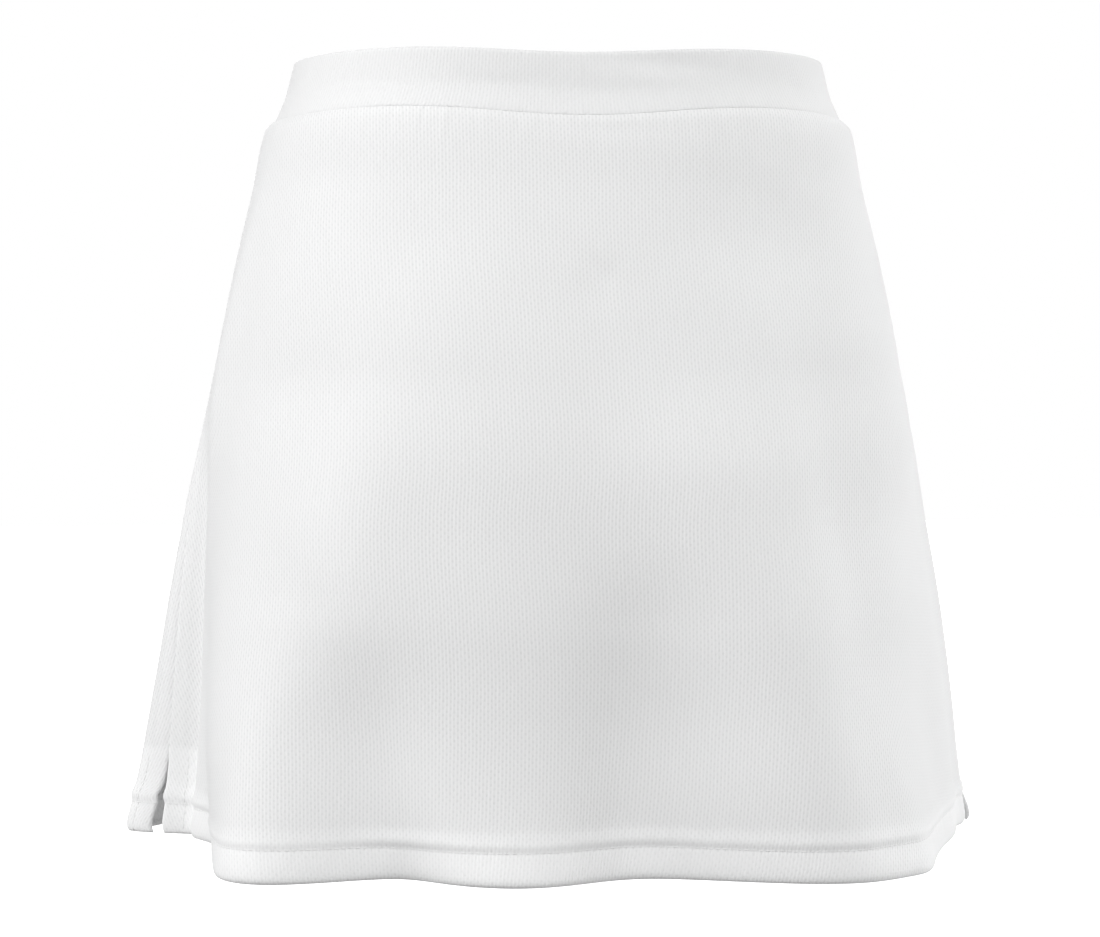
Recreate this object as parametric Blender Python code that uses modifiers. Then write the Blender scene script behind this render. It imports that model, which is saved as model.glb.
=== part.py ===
"""A sports skort, filled out as it is worn: an A-line skirt of two panels on a deep elastic
waistband, short vents in its side seams, and plain shorts of four panels sewn in underneath.

Metres, +Z up. The origin is the middle of the waistband's ring, where the wearer holds the
garment. The skirt's back panel faces -Y, the side seams lie over the X axis and the wearer's
left is -X. Heights are given as a drop: how far below the waistband's top edge a point hangs.
"""

from collections import namedtuple

import bpy
import numpy as np

# Driving sizes ----------------------------------------------------------------------------

SKIRT_LENGTH = 0.3590  # waistband's top edge to the hem
BAND_DEPTH = 0.0280  # waistband's height
BAND_THICK = 0.0032  # folded cloth with the elastic inside it
SKIRT_CLOTH = 0.0012  # one layer of the skirt's knit
SHORTS_CLOTH = 0.0012  # one layer of the shorts' jersey
FOLDED = 2.0  # layers in a turned hem
SEAM_GAP = 0.0003  # pieces stand this far apart where they are sewn
SHORTS_HANG = 0.0008  # the shorts start this far below the band's lower edge

HEM_DEPTH = 0.0147  # turned up at the skirt's lower edge
VENT_HEIGHT = 0.0360  # open length at the foot of each side seam
VENT_FACING = 0.0110  # turned back along both edges of a vent
VENT_REACH = 0.0340  # a vent's corner lifts the cloth this far round from it
BEAD = 0.0012  # cloth puffs out this far beside a row of stitches
BEAD_WIDTH = 0.0032
CROTCH_DROP = 0.2415
SHORTS_DROP = 0.3015  # waistband's top edge to the shorts' leg hems
SHORTS_HEM = 0.0180

BAND_TOP_Z = BAND_DEPTH / 2  # the origin is the middle of the band
TOP_WAVE = 0.0013  # the band's top edge dips and rises this far round the ring
SEAM_WAVE = 0.0022  # and so does the seam below it
WAVES_ROUND = 4
WAVE_FADE = 0.0600  # the skirt hangs level again this far below the seam
WAIST_SHIFT = 0.0016  # the waist sits this far to the wearer's right of the hem
SHIFT_FADE = 0.2200

# Sections ---------------------------------------------------------------------------------
# A row is one level ring: its half widths along X and Y, and how square its corners are
# (2 is an ellipse, more is boxier), for the back half and for the front half.

Ring = namedtuple("Ring", "name drop half_width back front square_back square_front")

BAND_RINGS = (
    Ring("top edge", 0.0000, 0.1223, 0.0915, 0.0835, 2.30, 2.20),
    Ring("middle", 0.0150, 0.1272, 0.0955, 0.0880, 2.30, 2.20),
    Ring("seam", BAND_DEPTH, 0.1318, 0.0990, 0.0915, 2.30, 2.20),
)

SKIRT_RINGS = (
    Ring("seam", BAND_DEPTH, 0.1330, 0.1000, 0.0926, 2.30, 2.20),
    Ring("below seam", 0.0315, 0.1358, 0.1028, 0.0955, 2.30, 2.20),
    Ring("high hip", 0.0615, 0.1421, 0.1150, 0.1000, 2.30, 2.25),
    Ring("belly", 0.1015, 0.1514, 0.1330, 0.1070, 2.35, 2.30),
    Ring("hip", 0.1415, 0.1582, 0.1460, 0.1110, 2.45, 2.35),
    Ring("seat", 0.1765, 0.1641, 0.1530, 0.1130, 2.55, 2.40),
    Ring("under seat", 0.2115, 0.1696, 0.1550, 0.1140, 2.70, 2.45),
    Ring("thigh", 0.2595, 0.1777, 0.1560, 0.1165, 3.00, 2.50),
    Ring("above hem", 0.3155, 0.1851, 0.1600, 0.1210, 3.25, 2.60),
    Ring("hem", SKIRT_LENGTH, 0.1885, 0.1670, 0.1260, 3.40, 2.70),
)

SHORTS_RINGS = (
    Ring("seam", BAND_DEPTH, 0.1313, 0.0983, 0.0909, 2.30, 2.20),
    Ring("high hip", 0.0615, 0.1390, 0.1110, 0.0960, 2.30, 2.20),
    Ring("belly", 0.1015, 0.1485, 0.1270, 0.1010, 2.30, 2.25),
    Ring("hip", 0.1415, 0.1550, 0.1380, 0.1035, 2.30, 2.25),
    Ring("seat", 0.1765, 0.1590, 0.1420, 0.1040, 2.35, 2.30),
    Ring("crotch", CROTCH_DROP, 0.1620, 0.1380, 0.1020, 2.40, 2.30),
)

# One leg of the shorts as level ellipses; inner is how far its inseam stands off the middle.
Thigh = namedtuple("Thigh", "name drop inner half_width middle_y half_depth")

THIGH_RINGS = (
    Thigh("crotch", CROTCH_DROP, 0.00018, 0.0805, -0.0120, 0.0960),
    Thigh("upper leg", 0.2575, 0.00170, 0.0797, -0.0100, 0.0935),
    Thigh("leg hem", SHORTS_DROP, 0.00450, 0.0770, -0.0060, 0.0880),
)
RISE_DROP = 0.0915  # above this the centre seams hang straight
SPLIT_DROP = 0.1515  # below this the hips begin to part into two thighs
SEAM_HUG = 3.0  # how closely that parting keeps to the centre seams

# Folds ------------------------------------------------------------------------------------
# A fold is a soft ridge, or a trough where its height is negative, that grows from its start
# down to the hem. angle and width are degrees round the hem, counted from +X towards +Y, and
# lean is how much further round its upper end lies.

Fold = namedtuple("Fold", "name angle lean width height start power")

FOLDS = (
    Fold("left side trough", -160, 0, 16.0, -0.0245, 0.1665, 1.30),
    Fold("left corner ridge", -136, 0, 9.0, 0.0193, 0.1215, 1.15),
    Fold("left inner trough", -121, -5, 8.0, -0.0145, 0.1815, 1.45),
    Fold("middle flute", -104, -3, 9.0, 0.0190, 0.2015, 1.80),
    Fold("middle trough", -86, 2, 9.0, -0.0100, 0.1815, 1.50),
    Fold("right corner ridge", -56, -5, 11.0, 0.0250, 0.1315, 1.40),
    Fold("right side trough", -27, -5, 13.0, -0.0127, 0.1515, 1.30),
    Fold("right seam flute", 9, 2, 10.0, 0.0080, 0.1815, 1.30),
    Fold("front right trough", 33, 3, 12.0, -0.0090, 0.1915, 1.40),
    Fold("front right ridge", 55, 4, 10.0, 0.0130, 0.1515, 1.40),
    Fold("front middle trough", 76, 0, 9.0, -0.0080, 0.1915, 1.60),
    Fold("front flute", 95, 2, 10.0, 0.0110, 0.2015, 1.70),
    Fold("front left trough", 115, 0, 9.0, -0.0080, 0.1815, 1.50),
    Fold("front left ridge", 134, -3, 10.0, 0.0140, 0.1415, 1.40),
    Fold("front side trough", 150, -2, 9.0, -0.0090, 0.1715, 1.40),
    Fold("left seam flute", 167, -2, 9.0, 0.0140, 0.1415, 1.15),
    Fold("left seam pinch", 180, 0, 6.0, -0.0034, 0.1915, 0.90),
)

# Swells and hollows with no line down to the hem: angle and width in degrees, drop and tall
# in metres.
Swell = namedtuple("Swell", "name angle drop width tall height")

SWELLS = (
    Swell("hollow of the back", -90, 0.0515, 16, 0.022, -0.0014),
    Swell("top of the seat", -88, 0.1035, 5, 0.010, -0.0020),
    Swell("left seat", -122, 0.1665, 17, 0.045, 0.0030),
    Swell("right seat", -62, 0.1665, 17, 0.045, 0.0025),
    Swell("under the seat", -86, 0.2765, 20, 0.035, -0.0040),
    Swell("belly", 90, 0.0865, 30, 0.045, 0.0030),
    Swell("left hip", 171, 0.2265, 14, 0.055, 0.0030),
)

# Panels -----------------------------------------------------------------------------------
# A skirt panel runs round from start to end. At each of its lower corners a vent's edge draws
# back from the seam line by gap and kicks out by flare.

Corner = namedtuple("Corner", "gap flare")
Panel = namedtuple("Panel", "name start end columns at_start at_end")

SKIRT_PANELS = (
    Panel("skirt_back", -180, 0, 34, Corner(0.0016, 0.0062), Corner(0.0016, 0.0020)),
    Panel("skirt_front", 0, 180, 26, Corner(0.0016, 0.0085), Corner(0.0026, 0.0086)),
)

# A shorts panel covers part of one leg, from 0 at the centre front, past 0.5 at the side, to
# 1 at the centre back. side is -1 for the wearer's left.
Leg = namedtuple("Leg", "name side begin end")

SHORTS_PANELS = (
    Leg("shorts_left_front", -1, 0.0, 0.5),
    Leg("shorts_left_back", -1, 0.5, 1.0),
    Leg("shorts_right_front", 1, 0.0, 0.5),
    Leg("shorts_right_back", 1, 0.5, 1.0),
)

# Distances of a panel's rows from its seam or hem, and of its columns from a vent's edge: the
# close ones give a turned edge its stitch groove and bead.
ROWS_BELOW_SEAM = (0.0003, 0.0018, 0.0045, 0.0100)
ROWS_ABOVE_HEM = (0.0320, 0.0250, 0.0205, 0.0180, 0.0162, 0.0147, 0.0132, 0.0075, 0.0012, 0.0)
COLUMNS_FROM_VENT = (0.0, 0.0010, 0.0055, 0.0098, 0.0110, 0.0123, 0.0145, 0.0190)
SKIRT_ROWS = 13  # evenly spaced, between those two sets
SEWN_COLUMN = 0.01  # a shorts panel's outermost columns, as a part of its width
SHORTS_COLUMNS = 10
SHORTS_ROWS = 14
BAND_COLUMNS = 64
BAND_ROWS = 5

# colour, roughness
LOOKS = {
    "white mesh knit": ((0.86, 0.86, 0.87, 1.0), 0.75),
    "white elastic band": ((0.87, 0.87, 0.88, 1.0), 0.70),
    "white jersey": ((0.82, 0.82, 0.83, 1.0), 0.80),
}

# Shape ------------------------------------------------------------------------------------


def eased(rows, name, drop):
    """One named column of a table at any drop: a cubic that never overshoots the rows."""
    at = np.array([row.drop for row in rows])
    value = np.array([getattr(row, name) for row in rows])
    step = np.diff(at)
    slope = np.diff(value) / step
    both = slope[:-1] + slope[1:]
    same_way = slope[:-1] * slope[1:] > 0
    harmonic = 2 * slope[:-1] * slope[1:] / np.where(same_way, both, 1)
    tangent = np.concatenate([slope[:1], np.where(same_way, harmonic, 0), slope[-1:]])
    i = np.clip(np.searchsorted(at, drop) - 1, 0, len(step) - 1)
    t = np.clip((drop - at[i]) / step[i], 0, 1)
    return (
        (1 + 2 * t) * (1 - t) ** 2 * value[i]
        + t * (1 - t) ** 2 * step[i] * tangent[i]
        + t * t * (3 - 2 * t) * value[i + 1]
        + t * t * (t - 1) * step[i] * tangent[i + 1]
    )


def smoothstep(x):
    """0 to 1 with level ends."""
    x = np.clip(x, 0, 1)
    return x * x * (3 - 2 * x)


def bell(x):
    """1 in the middle, gone about two widths away."""
    return np.exp(-x * x)


def turned(angle, other):
    """Degrees round from other to angle, between -180 and 180."""
    return (angle - other + 180) % 360 - 180


def ring_radius(rows, angle, drop):
    """A superellipse's radius, with its own depth and squareness on the back and front."""
    cosine, sine = np.cos(np.radians(angle)), np.sin(np.radians(angle))
    back = sine < 0
    depth = np.where(back, eased(rows, "back", drop), eased(rows, "front", drop))
    square = np.where(
        back, eased(rows, "square_back", drop), eased(rows, "square_front", drop)
    )
    across = np.abs(cosine) / eased(rows, "half_width", drop)
    along = np.abs(sine) / depth
    return (across**square + along**square) ** (-1 / square)


def fold_height(angle, drop):
    """How far the folds and swells together push the skirt out."""
    height = 0 * (angle + drop)
    for fold in FOLDS:
        grown = np.clip((drop - fold.start) / (SKIRT_LENGTH - fold.start), 0, 1)
        middle = fold.angle + fold.lean * (1 - grown)
        height += fold.height * grown**fold.power * bell(turned(angle, middle) / fold.width)
    for swell in SWELLS:
        across = turned(angle, swell.angle) / swell.width
        height += swell.height * bell(across) * bell((drop - swell.drop) / swell.tall)
    return height


def skirt_radius(angle, drop):
    """The skirt's outer face, without its turned edges."""
    return ring_radius(SKIRT_RINGS, angle, drop) + fold_height(angle, drop)


def wave(angle, depth):
    """The waist's slow rise and dip, deepest at the middle of the back, the front and sides."""
    return depth * np.cos(np.radians(WAVES_ROUND * (angle + 90)))


def placed(angle, radius, drop):
    """Points from angles in degrees, radii and drops."""
    across = radius * np.cos(np.radians(angle))
    along = radius * np.sin(np.radians(angle))
    return np.stack([across, along, BAND_TOP_Z - drop + 0 * radius], axis=-1)


def set_over(grid):
    """The grid with its upper rings moved across, as the waist sits to one side."""
    grid = grid.copy()
    drop = BAND_TOP_Z - grid[..., 2]
    grid[..., 0] += WAIST_SHIFT * (1 - smoothstep(drop / SHIFT_FADE))
    return grid


def stitch_relief(distance, stitches):
    """A groove at a row of stitches that far from an edge, with the cloth puffed out past it."""
    groove = bell((distance - stitches) / 0.0009)
    puff = bell((distance - stitches - 1.3 * BEAD_WIDTH) / BEAD_WIDTH)
    roll = bell(distance / 0.0009)
    return BEAD * (puff - 0.5 * groove - 0.4 * roll)


def drawn_together(grid, gap):
    """The grid with its first and last columns moved in along the cloth by half a gap."""
    grid = grid.copy()
    for edge, neighbour in ((0, 1), (-1, -2)):
        along = grid[neighbour] - grid[edge]
        grid[edge] += along * (gap / 2) / np.linalg.norm(along, axis=-1, keepdims=True)
    return grid


# Pieces -----------------------------------------------------------------------------------


def waistband_grid():
    """The band's outer face, once round from its join at the middle of the back."""
    angle = np.linspace(-90, 270, BAND_COLUMNS)[:, None]
    drop = np.linspace(0, BAND_DEPTH, BAND_ROWS)[None, :]
    shift = wave(angle, TOP_WAVE + (SEAM_WAVE - TOP_WAVE) * drop / BAND_DEPTH)
    grid = placed(angle, ring_radius(BAND_RINGS, angle, drop), drop + shift)
    return drawn_together(set_over(grid), SEAM_GAP)


def hem_stations(panel):
    """Angles round the hem, and the distance run along it to each."""
    fine = np.linspace(panel.start, panel.end, 721)
    hem = placed(fine, skirt_radius(fine, SKIRT_LENGTH), SKIRT_LENGTH + 0 * fine)
    run = np.append(0, np.cumsum(np.linalg.norm(np.diff(hem, axis=0), axis=1)))
    return fine, run


def skirt_grid(panel):
    """A skirt panel's outer face, and which of its points lie on a turned edge."""
    fine, run = hem_stations(panel)
    near = np.array(COLUMNS_FROM_VENT)
    even = np.linspace(near[-1], run[-1] - near[-1], panel.columns + 1)[1:-1]
    station = np.concatenate([near, even, run[-1] - near[::-1]])[:, None]
    below = BAND_DEPTH + np.array(ROWS_BELOW_SEAM)
    above = SKIRT_LENGTH - np.array(ROWS_ABOVE_HEM)
    between = np.linspace(below[-1], above[0], SKIRT_ROWS + 2)[1:-1]
    drop = np.concatenate([below, between, above])[None, :]

    vent_top = SKIRT_LENGTH - VENT_HEIGHT
    opened = smoothstep((drop - vent_top) / VENT_HEIGHT)
    moved = flare = 0
    relief = stitch_relief(SKIRT_LENGTH - drop, HEM_DEPTH)
    folded = drop >= SKIRT_LENGTH - HEM_DEPTH
    for corner, away, forward in (
        (panel.at_start, station, 1),
        (panel.at_end, run[-1] - station, -1),
    ):
        near_it = smoothstep(1 - away / VENT_REACH)
        moved = moved + forward * corner.gap * opened * near_it
        flare = flare + corner.flare * opened * near_it
        seen = smoothstep((drop - vent_top) / 0.006)
        relief = relief + seen * stitch_relief(away, VENT_FACING)
        folded = folded | ((away <= VENT_FACING) & (drop >= vent_top))

    angle = np.interp(station + moved, run, fine)
    radius = skirt_radius(angle, drop) + flare + relief
    fade = 1 - smoothstep((drop - BAND_DEPTH) / WAVE_FADE)
    hung = drop + wave(angle, SEAM_WAVE) * fade
    return drawn_together(set_over(placed(angle, radius, hung)), SEAM_GAP), folded


def shorts_grid(leg):
    """A shorts panel's outer face: the hips' ring parting smoothly into one thigh's."""
    even = np.linspace(0, 1, SHORTS_COLUMNS)[1:-1]
    across = np.concatenate([[0, SEWN_COLUMN], even, [1 - SEWN_COLUMN, 1]])[:, None]
    s = leg.begin + (leg.end - leg.begin) * across
    body = np.linspace(BAND_DEPTH + SHORTS_HANG, CROTCH_DROP, SHORTS_ROWS - 3)
    leg_rows = (0.2495, 0.2655, SHORTS_DROP - SHORTS_HEM, SHORTS_DROP)
    drop = np.append(body, leg_rows)[None, :]
    hip_drop = np.minimum(drop, CROTCH_DROP)
    thigh_drop = np.maximum(drop, CROTCH_DROP)

    angle = 90 - 180 * s
    torso = placed(angle, ring_radius(SHORTS_RINGS, angle, hip_drop), drop)

    round_leg = np.radians(180 - 360 * s)
    half_width = eased(THIGH_RINGS, "half_width", thigh_drop)
    half_depth = eased(THIGH_RINGS, "half_depth", thigh_drop)
    thigh = torso.copy()
    thigh[..., 0] = eased(THIGH_RINGS, "inner", thigh_drop) + half_width * (
        1 + np.cos(round_leg)
    )
    thigh[..., 1] = eased(THIGH_RINGS, "middle_y", thigh_drop) + half_depth * np.sin(round_leg)

    outside = smoothstep((drop - SPLIT_DROP) / (CROTCH_DROP - SPLIT_DROP))
    rise = np.clip((drop - RISE_DROP) / (CROTCH_DROP - RISE_DROP), 0, 1)
    centre = 1 - np.sqrt(1 - rise**2)
    hug = np.abs(2 * s - 1) ** SEAM_HUG
    grid = torso + (thigh - torso) * (outside + (centre - outside) * hug)[..., None]

    fade = 1 - smoothstep((drop - BAND_DEPTH) / WAVE_FADE)
    grid[..., 2] -= wave(angle, SEAM_WAVE) * fade
    grid[..., 0] *= leg.side
    return drawn_together(set_over(grid), SEAM_GAP), drop + 0 * s >= SHORTS_DROP - SHORTS_HEM


# Blender objects --------------------------------------------------------------------------


def material(name):
    """A Principled cloth of one plain colour."""
    colour, roughness = LOOKS[name]
    cloth = bpy.data.materials.new(name)
    cloth.use_nodes = True
    shader = cloth.node_tree.nodes["Principled BSDF"]
    shader.inputs["Base Color"].default_value = colour
    shader.inputs["Roughness"].default_value = roughness
    shader.inputs["Metallic"].default_value = 0.0
    return cloth


def cloth_object(name, grid, thickness, look, collection, flipped=False, folded=None):
    """An open sheet over a grid of points, given its thickness inwards by Solidify."""
    columns, rows = grid.shape[:2]
    index = np.arange(columns * rows).reshape(columns, rows)
    corners = [index[:-1, :-1], index[:-1, 1:], index[1:, 1:], index[1:, :-1]]
    if flipped:
        corners.reverse()
    faces = np.stack(corners, axis=-1).reshape(-1, 4)
    mesh = bpy.data.meshes.new(name)
    mesh.from_pydata(grid.reshape(-1, 3).tolist(), [], faces.tolist())
    mesh.shade_smooth()
    mesh.materials.append(look)
    sheet = bpy.data.objects.new(name, mesh)
    collection.objects.link(sheet)

    solidify = sheet.modifiers.new("thickness", "SOLIDIFY")
    solidify.thickness = thickness
    solidify.offset = -1.0
    solidify.use_even_offset = True
    solidify.use_quality_normals = True
    if folded is not None:
        group = sheet.vertex_groups.new(name="folded")
        group.add(index[folded].tolist(), 1.0, "REPLACE")
        solidify.vertex_group = group.name
        solidify.thickness = thickness * FOLDED
        solidify.thickness_vertex_group = 1 / FOLDED
    return sheet


def soften_rims(sheet, width, segments):
    """Round off the rims that Solidify leaves square."""
    bevel = sheet.modifiers.new("soft rims", "BEVEL")
    bevel.width = width
    bevel.segments = segments
    bevel.limit_method = "ANGLE"
    bevel.angle_limit = np.radians(60)


def build():
    for old in list(bpy.data.objects):
        bpy.data.objects.remove(old, do_unlink=True)
    skort = bpy.data.collections.new("skort")
    bpy.context.scene.collection.children.link(skort)

    band = cloth_object(
        "waistband", waistband_grid(), BAND_THICK, material("white elastic band"), skort
    )
    soften_rims(band, 0.0012, 2)

    knit = material("white mesh knit")
    for panel in SKIRT_PANELS:
        grid, folded = skirt_grid(panel)
        cloth_object(panel.name, grid, SKIRT_CLOTH, knit, skort, folded=folded)

    jersey = material("white jersey")
    for leg in SHORTS_PANELS:
        grid, folded = shorts_grid(leg)
        cloth_object(
            leg.name, grid, SHORTS_CLOTH, jersey, skort, flipped=leg.side > 0, folded=folded
        )


build()
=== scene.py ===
# %% [markdown]
# # A white sports skort, filled out as it is worn
#
# The real garment is cut from a fine white mesh knit. Two A-line panels meet at the sides,
# where the last few centimetres stay open as vents. A deep elastic waistband holds them, and
# plain jersey shorts are sewn in underneath. The folds could come from a cloth simulation, but
# that drapes anew whenever a mesh changes. Here each surface is a formula, with its folds named
# in a table, so every fold can be set by hand where the real cloth has it.

from collections import namedtuple

import bpy
import numpy as np
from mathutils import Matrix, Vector


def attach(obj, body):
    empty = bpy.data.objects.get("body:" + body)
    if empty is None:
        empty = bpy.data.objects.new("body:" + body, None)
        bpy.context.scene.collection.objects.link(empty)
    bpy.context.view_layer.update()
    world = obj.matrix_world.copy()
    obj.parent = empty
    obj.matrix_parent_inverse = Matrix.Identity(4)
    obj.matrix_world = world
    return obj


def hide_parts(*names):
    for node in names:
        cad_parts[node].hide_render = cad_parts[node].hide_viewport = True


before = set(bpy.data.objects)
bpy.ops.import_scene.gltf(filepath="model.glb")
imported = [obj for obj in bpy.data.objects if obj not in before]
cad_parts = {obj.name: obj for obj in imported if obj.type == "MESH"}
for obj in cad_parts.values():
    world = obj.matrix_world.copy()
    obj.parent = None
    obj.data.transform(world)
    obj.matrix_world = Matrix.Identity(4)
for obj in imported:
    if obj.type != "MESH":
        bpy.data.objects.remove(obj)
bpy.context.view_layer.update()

# %% [markdown]
# ## Sizes
#
# Everything is in metres. The origin is the middle of the waistband's ring, the back panel
# faces -Y and the wearer's left is -X. Heights are given as a drop: how far below the
# waistband's top edge a point hangs.

# %% Sizes
SKIRT_LENGTH = 0.3590  # waistband's top edge to the hem
BAND_DEPTH = 0.0280
BAND_THICK = 0.0032  # folded cloth with the elastic inside it
CLOTH = 0.0012  # one layer
SEAM_GAP = 0.0003  # pieces stand this far apart where they are sewn
SHORTS_HANG = 0.0008  # the shorts start this far below the band's lower edge

HEM_DEPTH = 0.0139  # turned up at the skirt's lower edge
VENT_HEIGHT = 0.0360
VENT_FACING = 0.0110  # turned back along both edges of a vent
VENT_REACH = 0.0340  # a vent's corner lifts the cloth this far round from it
CROTCH_DROP = 0.2415
SHORTS_DROP = 0.3015  # waistband's top edge to the shorts' leg hems
SHORTS_HEM = 0.0180

BAND_TOP_Z = BAND_DEPTH / 2
TOP_WAVE = 0.0013  # the band's top edge dips and rises this far round the ring
SEAM_WAVE = 0.0022  # and so does the seam below it
WAVES_ROUND = 4
WAVE_FADE = 0.0600
SEAM_HOLD = 0.1100  # the sewn edge follows the band, and the cloth is free this far below it
WAIST_SHIFT = 0.0016  # the waist sits this far to the wearer's right of the hem
SHIFT_FADE = 0.2200
print("waist seam to hem:", round(SKIRT_LENGTH - BAND_DEPTH, 4), "m")

# %% [markdown]
# ## Sections
#
# Worn cloth is never quite round. A waist is a flat oval and a hem is boxier, with more depth
# behind than in front. A superellipse covers all of these with one formula, so a short table of
# level rings says the whole body of the skirt.

# %% Level rings
Ring = namedtuple("Ring", "name drop half_width back front square_back square_front")

BAND_RINGS = (
    Ring("top edge", 0.0, 0.1223, 0.0915, 0.0835, 2.3, 2.2),
    Ring("middle", 0.015, 0.1258, 0.0935, 0.0863, 2.3, 2.2),
    Ring("seam", BAND_DEPTH, 0.1318, 0.099, 0.0915, 2.3, 2.2),
)

SKIRT_RINGS = (
    Ring("seam", BAND_DEPTH, 0.133, 0.1, 0.0926, 2.3, 2.2),
    Ring("below seam", 0.0315, 0.136, 0.102, 0.095, 2.3, 2.2),
    Ring("high hip", 0.0615, 0.142, 0.111, 0.1, 2.2, 2.25),
    Ring("belly", 0.1015, 0.1505, 0.124, 0.107, 2.2, 2.3),
    Ring("hip", 0.1415, 0.158, 0.1365, 0.111, 2.2, 2.35),
    Ring("seat", 0.1765, 0.1645, 0.1445, 0.113, 2.35, 2.4),
    Ring("under seat", 0.2115, 0.1705, 0.15, 0.114, 2.5, 2.45),
    Ring("thigh", 0.2595, 0.178, 0.159, 0.1165, 2.9, 2.5),
    Ring("above hem", 0.3155, 0.184, 0.166, 0.121, 3.6, 2.6),
    Ring("hem", SKIRT_LENGTH, 0.187, 0.17, 0.126, 3.7, 2.7),
)

SHORTS_RINGS = (
    Ring("seam", BAND_DEPTH, 0.1313, 0.0983, 0.0909, 2.3, 2.2),
    Ring("high hip", 0.0615, 0.138, 0.1048, 0.096, 2.1, 2.2),
    Ring("belly", 0.1015, 0.1472, 0.1195, 0.101, 2.2, 2.25),
    Ring("hip", 0.1415, 0.1538, 0.1325, 0.1035, 2.25, 2.25),
    Ring("seat", 0.1765, 0.1572, 0.139, 0.104, 2.3, 2.3),
    Ring("crotch", CROTCH_DROP, 0.1592, 0.136, 0.102, 2.35, 2.3),
)

# One leg of the shorts as level ellipses; inner is how far its inseam stands off the middle.
Thigh = namedtuple("Thigh", "name drop inner half_width middle_y half_depth")

THIGH_RINGS = (
    Thigh("crotch", CROTCH_DROP, 0.00018, 0.0785, -0.012, 0.096),
    Thigh("upper leg", 0.2575, 0.0017, 0.0775, -0.01, 0.0935),
    Thigh("leg hem", SHORTS_DROP, 0.0045, 0.0755, -0.006, 0.088),
)
RISE_DROP = 0.0915  # above this the centre seams hang straight
SPLIT_DROP = 0.1515  # below this the hips begin to part into two thighs
SEAM_HUG = 3.0  # how closely that parting keeps to the centre seams


def eased(rows, name, drop):
    """One named column of a table at any drop: a cubic that never overshoots the rows."""
    at = np.array([row.drop for row in rows])
    value = np.array([getattr(row, name) for row in rows])
    step = np.diff(at)
    slope = np.diff(value) / step
    both = slope[:-1] + slope[1:]
    same_way = slope[:-1] * slope[1:] > 0
    harmonic = 2 * slope[:-1] * slope[1:] / np.where(same_way, both, 1)
    tangent = np.concatenate([slope[:1], np.where(same_way, harmonic, 0), slope[-1:]])
    i = np.clip(np.searchsorted(at, drop) - 1, 0, len(step) - 1)
    t = np.clip((drop - at[i]) / step[i], 0, 1)
    return (
        (1 + 2 * t) * (1 - t) ** 2 * value[i]
        + t * (1 - t) ** 2 * step[i] * tangent[i]
        + t * t * (3 - 2 * t) * value[i + 1]
        + t * t * (t - 1) * step[i] * tangent[i + 1]
    )


def ring_radius(rows, angle, drop):
    """A superellipse's radius: (|cos|/width)^n + (|sin|/depth)^n, to the power -1/n."""
    cosine, sine = np.cos(np.radians(angle)), np.sin(np.radians(angle))
    back = sine < 0
    depth = np.where(back, eased(rows, "back", drop), eased(rows, "front", drop))
    square = np.where(
        back, eased(rows, "square_back", drop), eased(rows, "square_front", drop)
    )
    across = np.abs(cosine) / eased(rows, "half_width", drop)
    along = np.abs(sine) / depth
    return (across**square + along**square) ** (-1 / square)


print("back of the seat stands", ring_radius(SKIRT_RINGS, -90, 0.1765).round(4), "m off the axis")

# %% [markdown]
# ## Folds and creases
#
# Below the seat the cloth has more width than the body under it, so it falls into soft flutes
# that grow towards the hem. A sculptor would push them out by hand. A table does the same: each
# fold is a bell-shaped ridge, or a trough where its height is negative, that grows from where it
# starts down to the hem. Creases are the small marks that don't run down to the hem.

# %% Folds
Fold = namedtuple("Fold", "name angle lean width height start power")

FOLDS = (
    Fold("left side trough", -161, -20, 18, -0.027, 0.13, 1.1),
    Fold("left corner ridge", -132, 3, 10, 0.019, 0.095, 1.4),
    Fold("left corner crease", -139, 5, 4, 0.002, 0.195, 1.7),
    Fold("left inner trough", -122, -17, 9, -0.02, 0.195, 0.85),
    Fold("middle flute", -98, 0, 14, 0.0175, 0.25, 2.5),
    Fold("middle trough", -87, 8, 11, -0.013, 0.205, 0.85),
    Fold("right corner ridge", -60, -12, 13, 0.026, 0.115, 0.7),
    Fold("right corner crease", -48, -10, 5, 0.0045, 0.17, 1.3),
    Fold("right side trough", -31, 10, 15, -0.015, 0.15, 0.6),
    Fold("right seam flute", -2, -4, 5, 0.007, 0.125, 0.5),
    Fold("front right trough", 33, 3, 12, -0.009, 0.19, 1.4),
    Fold("front right ridge", 55, 4, 10, 0.013, 0.15, 1.4),
    Fold("front middle trough", 76, 0, 9, -0.008, 0.19, 1.6),
    Fold("front flute", 95, 2, 10, 0.011, 0.2, 1.7),
    Fold("front left trough", 115, 0, 9, -0.008, 0.18, 1.5),
    Fold("front left ridge", 134, -3, 10, 0.014, 0.14, 1.4),
    Fold("front side trough", 150, -2, 9, -0.009, 0.17, 1.4),
    Fold("left seam flute", 176, 4, 4, 0.017, 0.135, 0.7),
    Fold("left seam pinch", 182, 0, 2.5, -0.009, 0.15, 0.6),
)

# Swells and hollows: angle and width in degrees, drop and tall in metres.
Swell = namedtuple("Swell", "name angle drop width tall height")

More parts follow.
